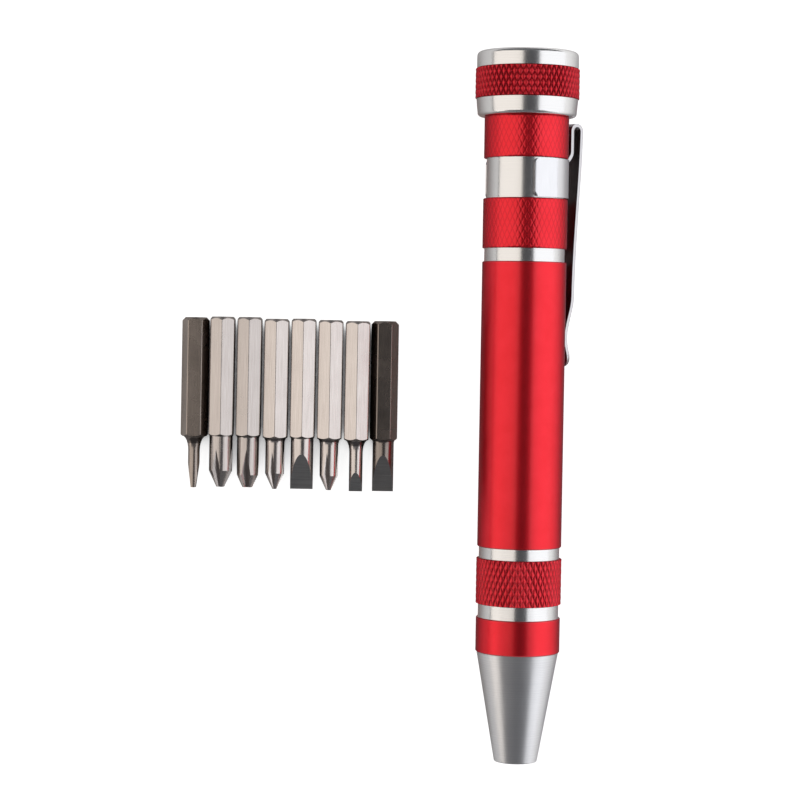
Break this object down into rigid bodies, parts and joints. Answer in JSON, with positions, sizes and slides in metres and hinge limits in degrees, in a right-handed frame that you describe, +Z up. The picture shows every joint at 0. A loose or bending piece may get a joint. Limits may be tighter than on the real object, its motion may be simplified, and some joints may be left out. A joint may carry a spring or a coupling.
{
  "type": "pocket screwdriver",
  "caption": "Pen-shaped pocket screwdriver with a knurled red barrel that stores bits, a screw cap, a sprung pocket clip and a bit socket, lying beside its loose hexagon bits.",
  "frame": {"origin": "on the surface that the set lies on, under the middle of its bounding box", "axes": "+Y along the driver from its nose to its cap, +X from the row of bits to the driver, +Z up from the surface"},
  "size_m": [0.065, 0.1148, 0.0169],
  "materials": {
    "red_anodised": "red anodised, satin, with bright-cut bare grooves and fine diamond knurls",
    "cap_anodised": "red anodised diamond knurl between two bright turned rings",
    "turned_metal": "bare, with fine turning marks",
    "clip_steel": "polished plated spring steel",
    "bit_steel": "plated alloy steel, satin",
    "dark_bit_steel": "plated alloy steel, satin, darker",
    "magnet": "nickel-plated magnet",
    "washer_rubber": "plain black rubber"
  },
  "bodies": {
    "barrel": {"barrel": "red_anodised", "nose": "turned_metal", "bit_magnet": "magnet"},
    "cap_washer": {"cap_washer": "washer_rubber"},
    "cap": {"cap": "cap_anodised"},
    "clip": {"clip_band": "clip_steel"},
    "clip_tongue": {"clip_tongue": "clip_steel"},
    "bit_slotted_1_5": {"bit_slotted_1_5": "dark_bit_steel"},
    "bit_cross_2": {"bit_cross_2": "bit_steel"},
    "bit_cross_1": {"bit_cross_1": "bit_steel"},
    "bit_cross_00": {"bit_cross_00": "bit_steel"},
    "bit_slotted_3_5": {"bit_slotted_3_5": "bit_steel"},
    "bit_cross_0": {"bit_cross_0": "bit_steel"},
    "bit_slotted_2": {"bit_slotted_2": "bit_steel"},
    "bit_slotted_3": {"bit_slotted_3": "dark_bit_steel"}
  },
  "joints": [
    {"name": "cap_lift", "type": "slide", "parent": "barrel", "child": "cap_washer", "axis": [0, 0.9998, 0.0179], "range_m": [0, 0.005]},
    {"name": "cap_turn", "type": "hinge", "parent": "cap_washer", "child": "cap", "pos_m": [0.02309, 0.04681, 0.00835], "axis": [0, 0.9998, 0.0179], "range_deg": [0, 1800]},
    {"name": "clip_swivel", "type": "hinge", "parent": "barrel", "child": "clip", "pos_m": [0.02309, 0.03684, 0.00817], "axis": [0, 0.9998, 0.0179], "continuous": true},
    {"name": "clip_flex", "type": "hinge", "parent": "clip", "child": "clip_tongue", "pos_m": [0.03006, 0.04503, 0.00287], "axis": [0.6157, -0.0141, 0.7879], "range_deg": [0, 4], "stiffness_Nm_per_rad": 1, "springref_deg": -1.72},
    {"name": "lift_slotted_1_5", "type": "slide", "parent": "barrel", "child": "bit_slotted_1_5", "axis": [0, 0, 1], "range_m": [0, 0.03]},
    {"name": "lift_cross_2", "type": "slide", "parent": "barrel", "child": "bit_cross_2", "axis": [0, 0, 1], "range_m": [0, 0.03]},
    {"name": "lift_cross_1", "type": "slide", "parent": "barrel", "child": "bit_cross_1", "axis": [0, 0, 1], "range_m": [0, 0.03]},
    {"name": "lift_cross_00", "type": "slide", "parent": "barrel", "child": "bit_cross_00", "axis": [0, 0, 1], "range_m": [0, 0.03]},
    {"name": "lift_slotted_3_5", "type": "slide", "parent": "barrel", "child": "bit_slotted_3_5", "axis": [0, 0, 1], "range_m": [0, 0.03]},
    {"name": "lift_cross_0", "type": "slide", "parent": "barrel", "child": "bit_cross_0", "axis": [0, 0, 1], "range_m": [0, 0.03]},
    {"name": "lift_slotted_2", "type": "slide", "parent": "barrel", "child": "bit_slotted_2", "axis": [0, 0, 1], "range_m": [0, 0.03]},
    {"name": "lift_slotted_3", "type": "slide", "parent": "barrel", "child": "bit_slotted_3", "axis": [0, 0, 1], "range_m": [0, 0.03]}
  ],
  "couplings": [
    {"joint": "cap_turn", "follows": "cap_lift", "rad_per_m": 6283.2}
  ]
}
